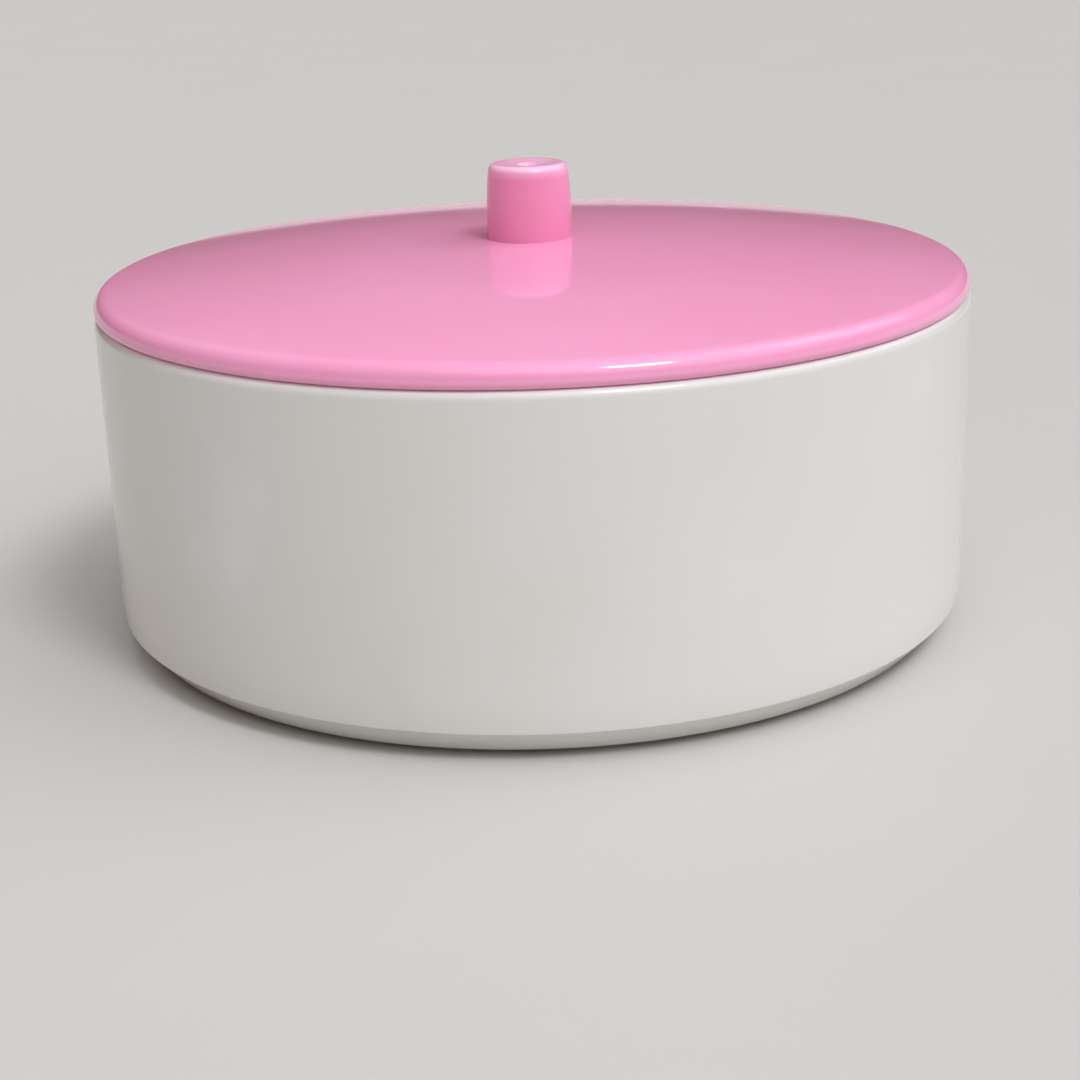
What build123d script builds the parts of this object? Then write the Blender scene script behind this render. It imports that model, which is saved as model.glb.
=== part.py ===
from build123d import *
import os
from math import radians, sin, sqrt, tan

# A round plastic trinket box: a tub, a lid that lifts off, and a pull knob screwed to the lid.
# Millimetres. The box stands on z = 0, and the axis of every piece is +Z.

# Tub
lip_radius = 60.0           # outside of the wall at the lip
body_height = 46.0          # from the foot ring's face up to the flat lip
wall_thickness = 2.3
wall_draft = 0.3            # the wall's radius is this much smaller at its foot
floor_thickness = 2.4
floor_fillet = 4.0          # inside corner between floor and wall
lip_round = 1.2             # outer edge of the lip
mouth_round = 0.3           # inner edge of the lip
turn_in = 0.2               # how far the wall curves in above the base band
turn_height = 3.8           # height of that curve
band_height = 3.25          # undercut band round the base
band_inset = 3.1            # how far the band runs in from its crisp upper edge
band_edge_round = 0.15
foot_height = 0.8
foot_setback = 2.6          # from the band's lower edge in to the foot ring
foot_width = 3.0
foot_round = 0.3

# Lid
lid_inset = 0.1             # the rim's radius is this much smaller than the tub's lip
rim_edge_height = 2.85      # where the dome's curve would meet the rim's outside
rim_lower_round = 0.9
rim_upper_round = 2.05
dome_rise = 4.25            # from that meeting height up to the crown
lid_thickness = 2.4         # of the domed shell
collar_depth = 5.0
collar_thickness = 1.8
collar_gap = 0.3            # between the collar and the tub's mouth
collar_lead_in = 0.5
collar_root_fillet = 1.0    # between the collar and the underside of the dome
boss_radius = 4.5           # flat boss under the crown, for the screw's head
boss_height = 0.8

# Knob
knob_radius = 5.85          # at its foot
knob_height = 10.15
knob_straight = 3.0         # the side is upright to this height
knob_taper = 6.3            # degrees, of the side above its bend
knob_shoulder = 1.2         # height that is left to the straight taper, above a long gentle bend
knob_top_round = 1.0
dish_depth = 0.3            # hollow in the top of the knob
dish_rim = 0.4              # flat left between the dish and the top's round
dimple_radius = 1.5         # small pit at the middle of the dish
dimple_depth = 0.7
dimple_round = 0.3          # rim of the pit

# Screw
screw_radius = 1.5          # outside of the thread
screw_length = 10.0         # under the head
screw_tip = 1.2             # length of the point
head_radius = 2.8
head_height = 2.0
head_round = 0.9
recess_length = 3.0         # cross recess in the head
recess_width = 0.7
recess_depth = 1.1
recess_taper = 8.0          # degrees, of the recess's walls
thread_clearance = 0.05     # between the thread's outside and the knob's bore
lid_hole_clearance = 0.2    # between the thread's outside and the hole in the lid
bore_run_out = 0.6          # the knob's bore goes this much deeper than the screw


def cap_sphere(base_radius, cap_height):
    """Radius of the sphere that a cap of that base radius and height is cut from."""
    return (base_radius ** 2 + cap_height ** 2) / (2 * cap_height)


# Heights and radii that follow from the sizes above
underside_z = foot_height
floor_z = underside_z + floor_thickness
band_top_z = foot_height + band_height
wall_foot_z = band_top_z + turn_height
lip_z = body_height

wall_foot_radius = lip_radius - wall_draft
band_top_radius = wall_foot_radius - turn_in
band_bottom_radius = band_top_radius - band_inset
foot_radius = band_bottom_radius - foot_setback
mouth_radius = lip_radius - wall_thickness
cavity_foot_radius = wall_foot_radius - wall_thickness

lid_radius = lip_radius - lid_inset
rim_edge_z = lip_z + rim_edge_height
crown_z = rim_edge_z + dome_rise
dome_radius = cap_sphere(lid_radius, dome_rise)
dome_centre_z = crown_z - dome_radius
collar_radius = mouth_radius - collar_gap
collar_inner_radius = collar_radius - collar_thickness
shell_crown_z = crown_z - lid_thickness


def dome_height_at(radius, sphere_radius):
    """Height at that distance from the axis of a sphere about the dome's centre."""
    return dome_centre_z + sqrt(sphere_radius ** 2 - radius ** 2)


seat_z = dome_height_at(knob_radius, dome_radius)
shell_edge_z = dome_height_at(collar_inner_radius, dome_radius - lid_thickness)
boss_z = shell_crown_z - boss_height
knob_top_z = seat_z + knob_height
knob_bend_z = seat_z + knob_straight
screw_tip_z = boss_z + screw_length
knob_bend_radius = (knob_height - knob_straight - knob_shoulder) / sin(radians(knob_taper))


# The tub: wall and band turned as one outline, foot ring below, cavity cut from above.
with BuildPart() as body:
    with BuildSketch(Plane.XZ):
        with BuildLine():
            base = Polyline((0, lip_z), (0, underside_z), (band_bottom_radius, underside_z),
                            (band_top_radius, band_top_z))
            side = Line((wall_foot_radius, wall_foot_z), (lip_radius, lip_z))
            TangentArc(side @ 0, base @ 1, tangent=-(side % 0))
            Line(side @ 1, base @ 0)
        make_face()
    revolve(axis=Axis.Z)
    band_edges = [e for e in body.edges().filter_by(GeomType.CIRCLE)
                  if abs(e.radius - band_top_radius) < 1e-4 or abs(e.radius - band_bottom_radius) < 1e-4]
    fillet(band_edges, band_edge_round)

    with BuildSketch(Plane.XY):
        Circle(foot_radius)
        Circle(foot_radius - foot_width, mode=Mode.SUBTRACT)
    extrude(amount=underside_z)
    foot_edges = body.faces().filter_by(Axis.Z).sort_by(Axis.Z)[0].edges()
    fillet(foot_edges, foot_round)

    with BuildSketch(Plane.XZ):
        with BuildLine():
            Polyline((0, floor_z), (cavity_foot_radius, floor_z), (mouth_radius, lip_z),
                     (0, lip_z), (0, floor_z))
        make_face()
        floor_corner = vertices().group_by(Axis.Y)[0].sort_by(Axis.X)[-1]
        fillet(floor_corner, floor_fillet)
    revolve(axis=Axis.Z, mode=Mode.SUBTRACT)
    mouth_edge, lip_edge = body.faces().filter_by(Axis.Z).sort_by(Axis.Z)[-1].edges().sort_by(SortBy.RADIUS)
    fillet(lip_edge, lip_round)
    fillet(mouth_edge, mouth_round)
body.part.label = "body"

# The lid: domed shell with a bullnose rim, a collar below it, and a flat seat for the knob.
with BuildPart() as lid:
    with BuildSketch(Plane.XZ):
        with BuildLine():
            outline = Polyline((0, crown_z), (0, lip_z), (lid_radius, lip_z), (lid_radius, rim_edge_z))
            RadiusArc(outline @ 1, outline @ 0, -dome_radius)
        make_face()
        rim_corners = vertices().sort_by(Axis.X)[-2:].sort_by(Axis.Y)
        fillet(rim_corners[0], rim_lower_round)
        fillet(rim_corners[1], rim_upper_round)
    revolve(axis=Axis.Z)

    with BuildSketch(Plane.XY.offset(lip_z)):
        Circle(collar_radius)
    extrude(amount=-collar_depth)
    collar_edge = lid.faces().sort_by(Axis.Z)[0].edges()
    chamfer(collar_edge, collar_lead_in)

    with BuildSketch(Plane.XZ):
        with BuildLine():
            hollow = Polyline((0, shell_crown_z), (0, lip_z - collar_depth),
                              (collar_inner_radius, lip_z - collar_depth),
                              (collar_inner_radius, shell_edge_z))
            RadiusArc(hollow @ 1, hollow @ 0, -(dome_radius - lid_thickness))
        make_face()
        root = vertices().sort_by(Axis.X)[-2:].sort_by(Axis.Y)[-1]
        fillet(root, collar_root_fillet)
    revolve(axis=Axis.Z, mode=Mode.SUBTRACT)

    with BuildSketch(Plane.XY.offset(boss_z)):
        Circle(boss_radius)
    extrude(until=Until.NEXT)

    with BuildSketch(Plane.XY.offset(seat_z)):
        Circle(knob_radius)
    extrude(amount=lid_thickness, mode=Mode.SUBTRACT)
    with Locations((0, 0, seat_z)):
        Hole(screw_radius + lid_hole_clearance, depth=seat_z - boss_z)
lid.part.label = "lid"

# The knob: upright below, curving in above, with a dished top and a blind bore for the screw.
with BuildPart() as knob:
    with BuildSketch(Plane.XZ):
        with BuildLine():
            foot = Polyline((0, knob_top_z), (0, seat_z), (knob_radius, seat_z),
                            (knob_radius, knob_bend_z))
            bend = JernArc(foot @ 1, foot % 1, knob_bend_radius, knob_taper)
            taper_height = knob_top_z - (bend @ 1).Y
            side = Line(bend @ 1, bend @ 1 + Vector(-taper_height * tan(radians(knob_taper)), taper_height))
            Line(side @ 1, foot @ 0)
        make_face()
        top_corner = vertices().group_by(Axis.Y)[-1].sort_by(Axis.X)[-1]
        fillet(top_corner, knob_top_round)
    revolve(axis=Axis.Z)

    top_radius = knob.faces().filter_by(Axis.Z).sort_by(Axis.Z)[-1].edges()[0].radius
    dish_radius = top_radius - dish_rim
    dish_sphere = cap_sphere(dish_radius, dish_depth)
    dimple_rim_z = knob_top_z - dish_depth + dish_sphere - sqrt(dish_sphere ** 2 - dimple_radius ** 2)
    for hollow_radius, hollow_rim_z, hollow_depth in [
        (dish_radius, knob_top_z, dish_depth),
        (dimple_radius, dimple_rim_z, dimple_depth),
    ]:
        with BuildSketch(Plane.XZ):
            with BuildLine():
                hollow = Polyline((0, hollow_rim_z - hollow_depth), (0, hollow_rim_z),
                                  (hollow_radius, hollow_rim_z))
                TangentArc(hollow @ 0, hollow @ 1, tangent=(1, 0))
            make_face()
        revolve(axis=Axis.Z, mode=Mode.SUBTRACT)
    dimple_edge = [e for e in knob.edges().filter_by(GeomType.CIRCLE)
                   if abs(e.radius - dimple_radius) < 1e-4 and e.center().Z > dimple_rim_z - dimple_depth]
    fillet(dimple_edge, dimple_round)

    with BuildSketch(Plane.XY.offset(seat_z)):
        Circle(screw_radius + thread_clearance)
    extrude(amount=screw_tip_z + bore_run_out - seat_z, mode=Mode.SUBTRACT)
knob.part.label = "knob"

# The screw: pan head below the lid's boss, thread drawn as a plain shank with a point.
with BuildPart() as knob_screw:
    with BuildSketch(Plane.XZ):
        with BuildLine():
            Polyline((0, screw_tip_z), (0, boss_z - head_height), (head_radius, boss_z - head_height),
                     (head_radius, boss_z), (screw_radius, boss_z),
                     (screw_radius, screw_tip_z - screw_tip), (0, screw_tip_z))
        make_face()
        head_corner = vertices().group_by(Axis.Y)[0].sort_by(Axis.X)[-1]
        fillet(head_corner, head_round)
    revolve(axis=Axis.Z)

    with BuildSketch(Plane.XY.offset(boss_z - head_height)):
        Rectangle(recess_length, recess_width)
        Rectangle(recess_width, recess_length)
    extrude(amount=recess_depth, taper=recess_taper, mode=Mode.SUBTRACT)
knob_screw.part.label = "knob_screw"

os.makedirs("parts", exist_ok=True)
export_step(body.part, "parts/body.step")
export_step(lid.part, "parts/lid.step")
export_step(knob.part, "parts/knob.step")
export_step(knob_screw.part, "parts/knob_screw.step")
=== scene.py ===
import math

import bpy
from mathutils import Matrix, Vector


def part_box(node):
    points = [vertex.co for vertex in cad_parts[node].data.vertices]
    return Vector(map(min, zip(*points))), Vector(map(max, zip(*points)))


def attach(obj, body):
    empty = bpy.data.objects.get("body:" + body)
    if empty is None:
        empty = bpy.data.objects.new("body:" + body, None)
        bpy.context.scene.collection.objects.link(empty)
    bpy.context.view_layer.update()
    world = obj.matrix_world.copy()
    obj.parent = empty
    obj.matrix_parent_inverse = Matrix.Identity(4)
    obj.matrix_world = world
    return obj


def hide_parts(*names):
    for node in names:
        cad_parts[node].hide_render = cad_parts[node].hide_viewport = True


# A round trinket box in moulded ABS: a white tub, a pink lid that lifts off, and the lid's pull knob.
# The turned outlines are in millimetres, as (radius, height). The rest is in metres and degrees.

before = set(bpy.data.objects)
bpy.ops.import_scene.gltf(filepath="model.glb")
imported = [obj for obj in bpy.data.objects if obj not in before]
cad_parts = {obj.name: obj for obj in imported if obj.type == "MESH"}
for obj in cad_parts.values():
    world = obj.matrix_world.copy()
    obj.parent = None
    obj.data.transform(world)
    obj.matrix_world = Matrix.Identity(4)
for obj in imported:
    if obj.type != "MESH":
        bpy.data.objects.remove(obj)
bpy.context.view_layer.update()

MM = 0.001

# Heights and radii that the CAD pieces give, in millimetres
LIP_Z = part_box("body")[1].z / MM
LID_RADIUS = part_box("lid")[1].x / MM
COLLAR_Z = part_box("lid")[0].z / MM
SEAT_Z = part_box("knob")[0].z / MM
KNOB_TOP_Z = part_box("knob")[1].z / MM
KNOB_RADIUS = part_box("knob")[1].x / MM
SCREW_TIP_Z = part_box("knob_screw")[1].z / MM

# The tub, in millimetres
LIP_RADIUS = 60.0
WALL_THICKNESS = 2.3
WALL_DRAFT = 0.3
LIP_ROUND = 1.2
MOUTH_ROUND = 0.3
FLOOR_THICKNESS = 2.4
FLOOR_FILLET = 4.0
TURN_IN = 0.2
TURN_HEIGHT = 3.8
BAND_HEIGHT = 3.25
BAND_INSET = 3.1
BAND_EDGE_ROUND = 0.15
FOOT_HEIGHT = 0.8
FOOT_SETBACK = 2.6
FOOT_WIDTH = 3.0
FOOT_ROUND = 0.3

# The lid, in millimetres
RIM_EDGE_HEIGHT = 2.85
RIM_LOWER_ROUND = 0.9
RIM_UPPER_ROUND = 2.05
DOME_RISE = 4.25
LID_THICKNESS = 2.4
COLLAR_GAP = 0.3
COLLAR_THICKNESS = 1.8
COLLAR_LEAD_IN = 0.5
COLLAR_ROOT_FILLET = 1.0
BOSS_RADIUS = 4.5
BOSS_HEIGHT = 0.8
SCREW_HOLE_RADIUS = 1.7

# The knob, in millimetres
KNOB_STRAIGHT = 3.0
KNOB_TAPER = 6.3            # degrees
KNOB_SHOULDER = 1.2         # straight taper left above the bend
KNOB_TOP_ROUND = 1.0
DISH_DEPTH = 0.3
DISH_RIM = 0.4
DIMPLE_RADIUS = 1.5
DIMPLE_DEPTH = 0.7
DIMPLE_ROUND = 0.3
BORE_RADIUS = 1.55
BORE_RUN_OUT = 0.6

# The finishes. Spacings, depths and reaches are in millimetres.
ABS_IOR = 1.54
SINK_SPACING = 14.0         # of the slow waver where a moulded wall has shrunk
SINK_DEPTH = 0.008
PEEL_SPACING = 1.2          # twice that of real orange peel, which is too fine to show
STREAK_WIDTH = 4.0          # of the flow streaks, at the outside of a piece
CLOUD_SPACING = 28.0
FLOOR_CLOUD_SPACING = 60.0
SCUFF_SPACING = 1.0
FOOT_WEAR = 0.5             # how far from the foot ring's face its scuffs reach
BAND_WEAR = 0.4             # the same at the crisp edge above the band
LIP_HIGHLIGHT_REACH = 0.6             # how far down the lip is painted paler, a painted highlight
BLOOM_SPACING = 1.6
RING_SPACING = 0.15
RING_DEPTH = 0.002

# Noise runs from 0 to 1. These are the stretches of it that each finish is spread over.
NOISE_RANGE = (0.3, 0.7)
CLOUD_LOW, CLOUD_HIGH = 0.35, 0.65
SCUFF_RANGE = (0.4, 0.65)   # unmarked below, and worn through above
STREAK_DULLING = 0.03       # roughness that the dullest flow streak adds to pink ABS

# The floor, in millimetres and degrees
FLOOR_RADIUS = 6000.0       # where the flat floor bends up
FLOOR_BEND = 5000.0
SWEEP_RADIUS = 8000.0       # where it ends
SWEEP_HEIGHT = 230.0
FLAT_BEHIND = 45.0          # either side of straight behind the box
SWEEP_RUN_OUT = 15.0

# The camera, from the ellipses of the lip, rim and base in the photograph
CAMERA_BACK = 0.287
CAMERA_HEIGHT = 0.1028
CAMERA_PITCH = 18.13        # down from level
CAMERA_ROLL = -1.87
CAMERA_LENS = 69.5          # millimetres, on a sensor 36 mm wide
SENSOR_WIDTH = 36.0

# The light. Angles are in degrees, and levels are radiance, where 1 shows as white.
DIM_LEVEL = 0.11
CEILING_LEVEL = 0.49
GLOW_LEVEL = 1.6
WINDOW_LEVEL = 1.65


def sphere_of(base_radius, cap_height):
    """Radius of the sphere that a cap of that base radius and height is cut from."""
    return (base_radius ** 2 + cap_height ** 2) / (2 * cap_height)


def arc(start, heading, end, steps=8):
    """Points, after start, of the arc that leaves start along heading and finishes at end."""
    start, heading, end = Vector(start), Vector(heading).normalized(), Vector(end)
    chord = end - start
    across = Vector((-heading.y, heading.x))
    if chord.dot(across) < 0:
        across.negate()
    radius = chord.length_squared / (2 * chord.dot(across))
    sweep = 2 * math.atan2(chord.dot(across), chord.dot(heading))
    angles = [sweep * step / steps for step in range(1, steps + 1)]
    return [start + (heading * math.sin(a) + across * (1 - math.cos(a))) * radius for a in angles]


def outline(*corners):
    """Points through corners (radius, height), each rounded by the radius that it may have third."""
    places = [Vector(corner[:2]) for corner in corners]
    points = []
    for i, corner in enumerate(corners):
        if len(corner) == 2:
            points.append(places[i])
            continue
        before = (places[i - 1] - places[i]).normalized()
        after = (places[(i + 1) % len(places)] - places[i]).normalized()
        reach = corner[2] / math.tan(before.angle(after) / 2)
        start = places[i] + before * reach
        points += [start, *arc(start, -before, places[i] + after * reach)]
    return points


def side_normals(points, sides, crease=math.radians(30)):
    """Outward normals at both ends of each side, shared by sides that meet at less than the crease."""
    ends = [(points[i], points[(i + 1) % len(points)]) for i in range(sides)]
    outward = [Vector((start.y - end.y, end.x - start.x)) for start, end in ends]
    pairs = []
    for i, normal in enumerate(outward):
        pair = []
        for point, neighbour in zip(ends[i], (outward[i - 1], outward[(i + 1) % sides])):
            if point.x == 0:
                pair.append(Vector((0, normal.y)).normalized())
            elif normal.angle(neighbour) < crease:
                pair.append((normal + neighbour).normalized())
            else:
                pair.append(normal.normalized())
        pairs.append(pair)
    return pairs


def turned(name, points, segments=512):
    """A solid turned about the Z axis. Its outline is walked with the air on the left, and is a loop
    unless it starts and ends on the axis."""
    around = [(math.cos(a), math.sin(a)) for a in (math.tau * i / segments for i in range(segments))]
    rings, vertices = [], []
    for point in points:
        spokes = around[:1] if point.x == 0 else around
        rings.append([len(vertices) + i % len(spokes) for i in range(segments)])
        vertices += [(point.x * c * MM, point.x * s * MM, point.y * MM) for c, s in spokes]
    sides = len(points) - (points[0].x == 0)
    faces, normals = [], []
    for side, (at_start, at_end) in enumerate(side_normals(points, sides)):
        start, end = rings[side], rings[(side + 1) % len(rings)]
        for i in range(segments):
            here, there = around[i], around[(i + 1) % segments]
            j = (i + 1) % segments
            corners = {start[i]: (at_start, here), end[i]: (at_end, here),
                       end[j]: (at_end, there), start[j]: (at_start, there)}
            faces.append(list(corners))
            normals += [(normal.x * c, normal.x * s, normal.y) for normal, (c, s) in corners.values()]
    mesh = bpy.data.meshes.new(name)
    mesh.from_pydata(vertices, [], faces)
    mesh.shade_smooth()
    mesh.normals_split_custom_set(normals)
    piece = bpy.data.objects.new(name, mesh)
    bpy.context.scene.collection.objects.link(piece)
    return piece


def make_tub():
    floor_z = FOOT_HEIGHT + FLOOR_THICKNESS
    band_top_z = FOOT_HEIGHT + BAND_HEIGHT
    wall_foot = (LIP_RADIUS - WALL_DRAFT, band_top_z + TURN_HEIGHT)
    band_top_radius = wall_foot[0] - TURN_IN
    band_bottom_radius = band_top_radius - BAND_INSET
    foot_radius = band_bottom_radius - FOOT_SETBACK
    foot_bore = foot_radius - FOOT_WIDTH
    down_the_wall = (-WALL_DRAFT, wall_foot[1] - LIP_Z)
    turn = arc(wall_foot, down_the_wall, (band_top_radius, band_top_z))
    return turned("tub", outline(
        (0, floor_z),
        (wall_foot[0] - WALL_THICKNESS, floor_z, FLOOR_FILLET),
        (LIP_RADIUS - WALL_THICKNESS, LIP_Z, MOUTH_ROUND),
        (LIP_RADIUS, LIP_Z, LIP_ROUND),
        wall_foot,
        *turn[:-1],
        (band_top_radius, band_top_z, BAND_EDGE_ROUND),
        (band_bottom_radius, FOOT_HEIGHT, BAND_EDGE_ROUND),
        (foot_radius, FOOT_HEIGHT),
        (foot_radius, 0, FOOT_ROUND),
        (foot_bore, 0, FOOT_ROUND),
        (foot_bore, FOOT_HEIGHT),
        (0, FOOT_HEIGHT),
    ))


def make_lid_shell():
    rim_edge_z = LIP_Z + RIM_EDGE_HEIGHT
    crown_z = rim_edge_z + DOME_RISE
    dome = sphere_of(LID_RADIUS, DOME_RISE)
    collar_radius = LIP_RADIUS - WALL_THICKNESS - COLLAR_GAP
    collar_bore = collar_radius - COLLAR_THICKNESS
    ceiling = dome - LID_THICKNESS
    ceiling_z = crown_z - LID_THICKNESS
    ceiling_edge_z = crown_z - dome + math.sqrt(ceiling ** 2 - collar_bore ** 2)
    seat_slope = (math.sqrt(dome ** 2 - KNOB_RADIUS ** 2), -KNOB_RADIUS)
    edge_slope = (-math.sqrt(ceiling ** 2 - collar_bore ** 2), collar_bore)
    boss_root_z = crown_z - dome + math.sqrt(ceiling ** 2 - BOSS_RADIUS ** 2)
    dome_points = arc((KNOB_RADIUS, SEAT_Z), seat_slope, (LID_RADIUS, rim_edge_z), steps=16)
    ceiling_points = arc((collar_bore, ceiling_edge_z), edge_slope, (BOSS_RADIUS, boss_root_z), steps=16)
    boss_z = ceiling_z - BOSS_HEIGHT
    return turned("lid_shell", outline(
        (SCREW_HOLE_RADIUS, SEAT_Z),
        (KNOB_RADIUS, SEAT_Z),
        *dome_points[:-1],
        (LID_RADIUS, rim_edge_z, RIM_UPPER_ROUND),
        (LID_RADIUS, LIP_Z, RIM_LOWER_ROUND),
        (collar_radius, LIP_Z),
        (collar_radius, COLLAR_Z + COLLAR_LEAD_IN),
        (collar_radius - COLLAR_LEAD_IN, COLLAR_Z),
        (collar_bore, COLLAR_Z),
        (collar_bore, ceiling_edge_z, COLLAR_ROOT_FILLET),
        *ceiling_points,
        (BOSS_RADIUS, boss_z),
        (SCREW_HOLE_RADIUS, boss_z),
    ))


def make_pull_knob():
    taper = math.radians(KNOB_TAPER)
    bend_start = (KNOB_RADIUS, SEAT_Z + KNOB_STRAIGHT)
    bend_end_z = KNOB_TOP_Z - KNOB_SHOULDER
    bend_radius = (bend_end_z - bend_start[1]) / math.sin(taper)
    bend_end = (KNOB_RADIUS - bend_radius * (1 - math.cos(taper)), bend_end_z)
    top_corner_radius = bend_end[0] - (KNOB_TOP_Z - bend_end[1]) * math.tan(taper)
    flat_radius = top_corner_radius - KNOB_TOP_ROUND / math.tan((math.pi / 2 + taper) / 2)
    dish_radius = flat_radius - DISH_RIM
    dish = sphere_of(dish_radius, DISH_DEPTH)
    dish_rise = math.sqrt(dish ** 2 - DIMPLE_RADIUS ** 2)
    dimple_z = KNOB_TOP_Z - DISH_DEPTH + dish - dish_rise
    bend = arc(bend_end, (math.sin(taper), -math.cos(taper)), bend_start)
    dimple_points = arc((0, dimple_z - DIMPLE_DEPTH), (1, 0), (DIMPLE_RADIUS, dimple_z))
    dish_points = arc((DIMPLE_RADIUS, dimple_z), (dish_rise, DIMPLE_RADIUS), (dish_radius, KNOB_TOP_Z))
    bore_top_z = SCREW_TIP_Z + BORE_RUN_OUT
    return turned("pull_knob", outline(
        (0, dimple_z - DIMPLE_DEPTH),
        *dimple_points[:-1],
        (DIMPLE_RADIUS, dimple_z, DIMPLE_ROUND),
        *dish_points,
        (top_corner_radius, KNOB_TOP_Z, KNOB_TOP_ROUND),
        bend_end,
        *bend,
        (KNOB_RADIUS, SEAT_Z),
        (BORE_RADIUS, SEAT_Z),
        (BORE_RADIUS, bore_top_z),
        (0, bore_top_z),
    ), segments=192)


def linear(hex_colour):
    """An sRGB hex colour as linear red, green, blue and alpha."""
    channels = [int(hex_colour[i:i + 2], 16) / 255 for i in (1, 3, 5)]
    return [c / 12.92 if c <= 0.04045 else ((c + 0.055) / 1.055) ** 2.4 for c in channels] + [1.0]


def add(tree, kind, inputs=None, **settings):
    """Adds a node with its settings. An input takes a value, or another node's output as a link."""
    node = tree.nodes.new(kind)
    for name, value in settings.items():
        setattr(node, name, value)
    for name, value in (inputs or {}).items():
        if isinstance(value, bpy.types.NodeSocket):
            tree.links.new(value, node.inputs[name])
        else:
            node.inputs[name].default_value = value
    return node


def mapped(tree, value, old_range, new_range, **settings):
    """A value carried from the old range to the new one, and held at its ends."""
    carried = add(tree, "ShaderNodeMapRange",
                  {"Value": value, "From Min": old_range[0], "From Max": old_range[1],
                   "To Min": new_range[0], "To Max": new_range[1]}, **settings)
    return carried.outputs["Result"]


def raised(tree, base, where, by):
    """A base value, raised by that much where the mask is 1."""
    total = add(tree, "ShaderNodeMath", {0: where, 1: by, 2: base}, operation="MULTIPLY_ADD")
    return total.outputs["Value"]


def ramp(tree, value, first, *others):
    """Colour that runs through the stops (position, sRGB hex) as the value rises."""
    colour = add(tree, "ShaderNodeValToRGB", {"Fac": value})
    stops = colour.color_ramp.elements
    stops.remove(stops[1])
    stops[0].position = first[0]
    stops[0].color = linear(first[1])
    for position, hex_colour in others:
        stops.new(position).color = linear(hex_colour)
    return colour.outputs["Color"]


def new_material(name):
    material = bpy.data.materials.new(name)
    material.use_nodes = True
    tree = material.node_tree
    tree.nodes.clear()
    return material, tree, add(tree, "ShaderNodeTexCoord").outputs["Object"]


def surface(tree, inputs):
    shader = add(tree, "ShaderNodeBsdfPrincipled", inputs)
    add(tree, "ShaderNodeOutputMaterial", {"Surface": shader.outputs["BSDF"]})


def flow_streaks(tree, place, radius):
    """Noise drawn out into streaks that run out from the gate at a piece's middle, as the melt did. They
    are as wide as STREAK_WIDTH at that radius in millimetres."""
    flat = add(tree, "ShaderNodeVectorMath", {0: place, 1: (1.0, 1.0, 0.0)}, operation="MULTIPLY")
    outward = add(tree, "ShaderNodeVectorMath", {0: flat.outputs["Vector"]}, operation="NORMALIZE")
    travel = add(tree, "ShaderNodeVectorMath", {0: place}, operation="LENGTH")
    streaks = add(tree, "ShaderNodeTexNoise",
                  {"Vector": outward.outputs["Vector"], "W": travel.outputs["Value"],
                   "Scale": radius / STREAK_WIDTH, "Detail": 2.0}, noise_dimensions="4D")
    return streaks.outputs["Fac"]


def clouds(tree, place, spacing):
    """Soft noise with that spacing in millimetres."""
    noise = add(tree, "ShaderNodeTexNoise", {"Vector": place, "Scale": 1 / (spacing * MM), "Detail": 3.0})
    return noise.outputs["Fac"]


def edge_at(tree, place, height, reach):
    """1 along an edge at that height, falling to 0 beyond its reach, in millimetres."""
    upright = add(tree, "ShaderNodeVectorMath", {0: place, 1: (0.0, 0.0, 1.0)}, operation="MULTIPLY")
    away = add(tree, "ShaderNodeVectorMath",
               {0: upright.outputs["Vector"], 1: (0.0, 0.0, height * MM)}, operation="DISTANCE")
    return mapped(tree, away.outputs["Value"], (0.0, reach * MM), (1.0, 0.0))


def scuffed(tree, place, edge):
    """An edge's 0 to 1, broken up into scuffs."""
    broken = mapped(tree, clouds(tree, place, SCUFF_SPACING), SCUFF_RANGE, (0.0, 1.0))
    scuffs = add(tree, "ShaderNodeMath", {0: edge, 1: broken}, operation="MULTIPLY")
    return scuffs.outputs["Value"]


def moulded_skin(tree, place, peel):
    """Normal of a skin moulded against polished steel. It wavers slowly, as a thin wall does where it
    has shrunk, and has a fine orange peel of that height in millimetres."""
    sink = add(tree, "ShaderNodeTexNoise",
               {"Vector": place, "Scale": 1 / (SINK_SPACING * MM), "Detail": 0.0})
    wavering = add(tree, "ShaderNodeBump",
                   {"Height": sink.outputs["Fac"], "Distance": SINK_DEPTH * MM})
    pebbles = add(tree, "ShaderNodeTexNoise",
                  {"Vector": place, "Scale": 1 / (PEEL_SPACING * MM), "Detail": 1.0})
    skin = add(tree, "ShaderNodeBump",
               {"Height": pebbles.outputs["Fac"], "Distance": peel * MM,
                "Normal": wavering.outputs["Normal"]})
    return skin.outputs["Normal"]


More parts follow.
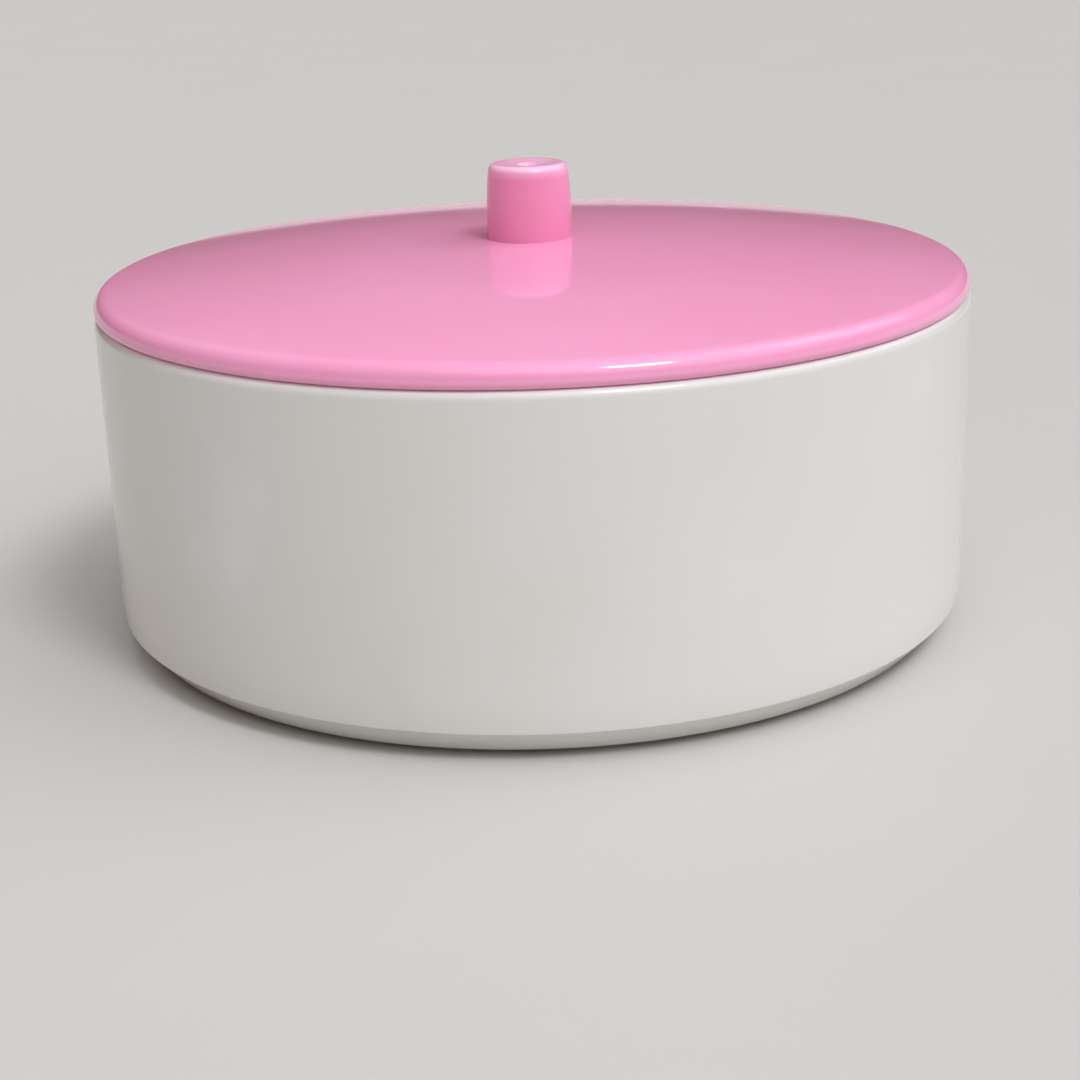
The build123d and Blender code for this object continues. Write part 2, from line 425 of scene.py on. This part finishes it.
def white_abs():
    """Off-white ABS, moulded in a polished tool and aged a little. The eye gets a warm white, hardly
    clouded, under a satin gloss. Its soft reflections waver and are faintly streaked up the wall. The
    lip is painted paler just under the lid, a painted highlight, and there are dull grey scuffs where
    the foot ring stands and along the crisp edge above the band."""
    material, tree, place = new_material("white_moulded_abs")
    foot = edge_at(tree, place, 0.0, FOOT_WEAR)
    band = edge_at(tree, place, FOOT_HEIGHT + BAND_HEIGHT, BAND_WEAR)
    edges = add(tree, "ShaderNodeMath", {0: foot, 1: band}, operation="MAXIMUM").outputs["Value"]
    worn = scuffed(tree, place, edges)
    # Painted highlight: the lip is painted paler, fading down from the lid's seam.
    painted_lip_highlight = edge_at(tree, place, LIP_Z, LIP_HIGHLIGHT_REACH)
    tone = raised(tree, clouds(tree, place, CLOUD_SPACING), where=painted_lip_highlight, by=0.5)
    tone = raised(tree, tone, where=worn, by=-0.3)
    # The ramp's last stop, #F2F1F0, is the colour of the painted lip highlight.
    colour = ramp(tree, tone, (0.0, "#CEC9BF"), (CLOUD_LOW, "#DFDDD8"), (CLOUD_HIGH, "#E1DFDC"),
                  (1.0, "#F2F1F0"))
    polish = mapped(tree, flow_streaks(tree, place, LIP_RADIUS), NOISE_RANGE, (0.13, 0.17))
    surface(tree, {"Base Color": colour, "Roughness": raised(tree, polish, where=worn, by=0.2),
                   "IOR": ABS_IOR, "Normal": moulded_skin(tree, place, peel=0.0006)})
    return material


def pink_abs(name, radius, rub_and_highlight_height, rub_and_highlight_reach, deeper, paler, rub_and_highlight_pink, polish, peel):
    """Pink ABS of the lid and knob. The eye gets a clear even pink that glows a little in its shaded
    rounds, because the resin lets some red light through. The edge at the given height is painted
    paler, with dull scuffs: on the lid this is handling wear, on the knob's top a painted highlight.
    Sizes are in millimetres."""
    material, tree, place = new_material(name)
    # Paler towards that edge: handling wear on the lid, a painted highlight on the knob's top.
    edge = edge_at(tree, place, rub_and_highlight_height, rub_and_highlight_reach)
    tone = raised(tree, clouds(tree, place, CLOUD_SPACING), where=edge, by=0.42)
    colour = ramp(tree, tone, (CLOUD_LOW, deeper), (CLOUD_HIGH, paler), (1.0, rub_and_highlight_pink))
    gloss = mapped(tree, flow_streaks(tree, place, radius), NOISE_RANGE, (polish, polish + STREAK_DULLING))
    roughness = raised(tree, gloss, where=scuffed(tree, place, edge), by=0.08)
    surface(tree, {"Base Color": colour, "Roughness": roughness, "IOR": ABS_IOR,
                   "Normal": moulded_skin(tree, place, peel),
                   "Subsurface Weight": 0.2, "Subsurface Radius": (1.0, 0.25, 0.3),
                   "Subsurface Scale": 1.2 * MM})
    return material


def zinc_steel():
    """Steel, cold headed and bright zinc plated. The eye gets a soft metal shine with a faint bluish
    and straw-coloured bloom, over fine rings left on the head."""
    material, tree, place = new_material("zinc_plated_steel")
    bloom = clouds(tree, place, BLOOM_SPACING)
    # A wave node of scale 1 has its rings tau / 20 apart.
    rings = add(tree, "ShaderNodeTexWave",
                {"Vector": place, "Scale": math.tau / (20 * RING_SPACING * MM), "Distortion": 1.0},
                wave_type="RINGS", rings_direction="Z")
    turned_face = add(tree, "ShaderNodeBump",
                      {"Height": rings.outputs["Fac"], "Distance": RING_DEPTH * MM})
    surface(tree, {"Base Color": ramp(tree, bloom, (0.0, "#C2C6CC"), (1.0, "#CFCBBF")),
                   "Roughness": mapped(tree, bloom, NOISE_RANGE, (0.2, 0.32)),
                   "Metallic": 1.0, "Normal": turned_face.outputs["Normal"]})
    return material


def floor_paint():
    """Matt off-white paint on a flat board. The eye gets a plain pale ground that is hardly clouded."""
    material, tree, place = new_material("matt_floor_paint")
    colour = ramp(tree, clouds(tree, place, FLOOR_CLOUD_SPACING), (0.0, "#C6C4C0"), (1.0, "#C9C6C2"))
    surface(tree, {"Base Color": colour, "Roughness": 0.6})
    return material


def fit(piece, node, body, material):
    """Puts a turned piece in the place of its CAD node, with its finish."""
    piece.data.materials.append(material)
    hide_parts(node)
    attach(piece, body)


def make_floor():
    """A flat floor. Far away it sweeps up a little, so that a low view ends on it, but it stays flat
    behind the box, because the lid's far rim mirrors what is there."""
    floor = turned("floor", outline((0, 0), (FLOOR_RADIUS, 0, FLOOR_BEND), (SWEEP_RADIUS, SWEEP_HEIGHT)))
    for vertex in floor.data.vertices:
        off_behind = math.degrees(abs(math.atan2(vertex.co.x, vertex.co.y)))
        vertex.co.z *= min(max((off_behind - FLAT_BEHIND) / SWEEP_RUN_OUT, 0), 1)
    floor.data.materials.append(floor_paint())


def towards(azimuth, elevation):
    """Unit vector that points there, in degrees. Azimuth 0 is the camera's side, and 90 its right."""
    a, e = math.radians(azimuth), math.radians(elevation)
    return Vector((math.sin(a) * math.cos(e), -math.cos(a) * math.cos(e), math.sin(e)))


def make_lamp(name, azimuth, elevation, angle, strength):
    """A round distant white lamp, angle degrees across."""
    data = bpy.data.lights.new(name, "SUN")
    data.angle = math.radians(angle)
    data.energy = strength
    lamp = bpy.data.objects.new(name, data)
    bpy.context.scene.collection.objects.link(lamp)
    lamp.rotation_mode = "QUATERNION"
    lamp.rotation_quaternion = towards(azimuth, elevation).to_track_quat("Z", "Y")


def sky_patch(tree, place, azimuth, elevation, inner, outer, level):
    """Light of that level within inner degrees of a direction, which falls off softly to outer degrees."""
    facing = add(tree, "ShaderNodeVectorMath", {0: place, 1: towards(azimuth, elevation)},
                 operation="DOT_PRODUCT")
    fall_off = (math.cos(math.radians(outer)), math.cos(math.radians(inner)))
    return mapped(tree, facing.outputs["Value"], fall_off, (0.0, level), interpolation_type="SMOOTHSTEP")


def make_world():
    """A broad soft glow from the front right and a window on the right, under a pale ceiling, in dim
    warm surroundings."""
    world = bpy.data.worlds.new("studio")
    world.use_nodes = True
    tree = world.node_tree
    tree.nodes.clear()
    place = add(tree, "ShaderNodeTexCoord").outputs["Generated"]
    ceiling = sky_patch(tree, place, azimuth=-117, elevation=75, inner=16, outer=76, level=CEILING_LEVEL)
    glow = sky_patch(tree, place, azimuth=42, elevation=55, inner=3, outer=52, level=GLOW_LEVEL)
    window = sky_patch(tree, place, azimuth=110, elevation=43, inner=2, outer=25, level=WINDOW_LEVEL)
    both = add(tree, "ShaderNodeMath", {0: glow, 1: window}, operation="ADD").outputs["Value"]
    cast = add(tree, "ShaderNodeMath", {0: ceiling, 1: both}, operation="ADD").outputs["Value"]
    level = add(tree, "ShaderNodeMath", {0: cast, 1: DIM_LEVEL}, operation="ADD")
    tint = ramp(tree, cast, (0.0, "#FFD0A0"), (CEILING_LEVEL, "#F6F9FF"))
    background = add(tree, "ShaderNodeBackground", {"Color": tint, "Strength": level.outputs["Value"]})
    add(tree, "ShaderNodeOutputWorld", {"Surface": background.outputs["Background"]})
    bpy.context.scene.world = world


def make_camera():
    data = bpy.data.cameras.new("photo_camera")
    data.sensor_width = SENSOR_WIDTH
    data.lens = CAMERA_LENS
    data.clip_start = 0.01
    camera = bpy.data.objects.new("photo_camera", data)
    bpy.context.scene.collection.objects.link(camera)
    aim = Matrix.Rotation(math.radians(90 - CAMERA_PITCH), 4, "X")
    roll = Matrix.Rotation(math.radians(CAMERA_ROLL), 4, "Z")
    camera.matrix_world = Matrix.Translation((0, -CAMERA_BACK, CAMERA_HEIGHT)) @ aim @ roll
    bpy.context.scene.camera = camera


# The lid's tool was mirror polished: its gloss holds a clear image of the knob.
lid_finish = pink_abs("pink_moulded_abs", LID_RADIUS, LIP_Z + RIM_LOWER_ROUND, 0.7,
                      "#F7A0C8", "#F9A4CD", "#FCAAD1", polish=0.07, peel=0.0004)
# The knob's tool was blasted fine: its gloss is softer, and spreads the light over the rounded top.
# The knob's top is painted a much paler pink, #FDC3E1, towards its top edge: a painted highlight.
knob_finish = pink_abs("pink_satin_moulded_abs", KNOB_RADIUS, KNOB_TOP_Z - DISH_DEPTH, 1.8,
                       "#EF92BB", "#F195BE", "#FDC3E1", polish=0.17, peel=0.001)
fit(make_tub(), "body", "body", white_abs())
fit(make_lid_shell(), "lid", "lid", lid_finish)
fit(make_pull_knob(), "knob", "lid", knob_finish)
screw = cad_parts["knob_screw"]
screw.data.materials.clear()
screw.data.materials.append(zinc_steel())

make_floor()
make_lamp("key_lamp", azimuth=35, elevation=53, angle=15, strength=0.97)
make_world()
make_camera()
bpy.context.scene.view_settings.view_transform = "Standard"
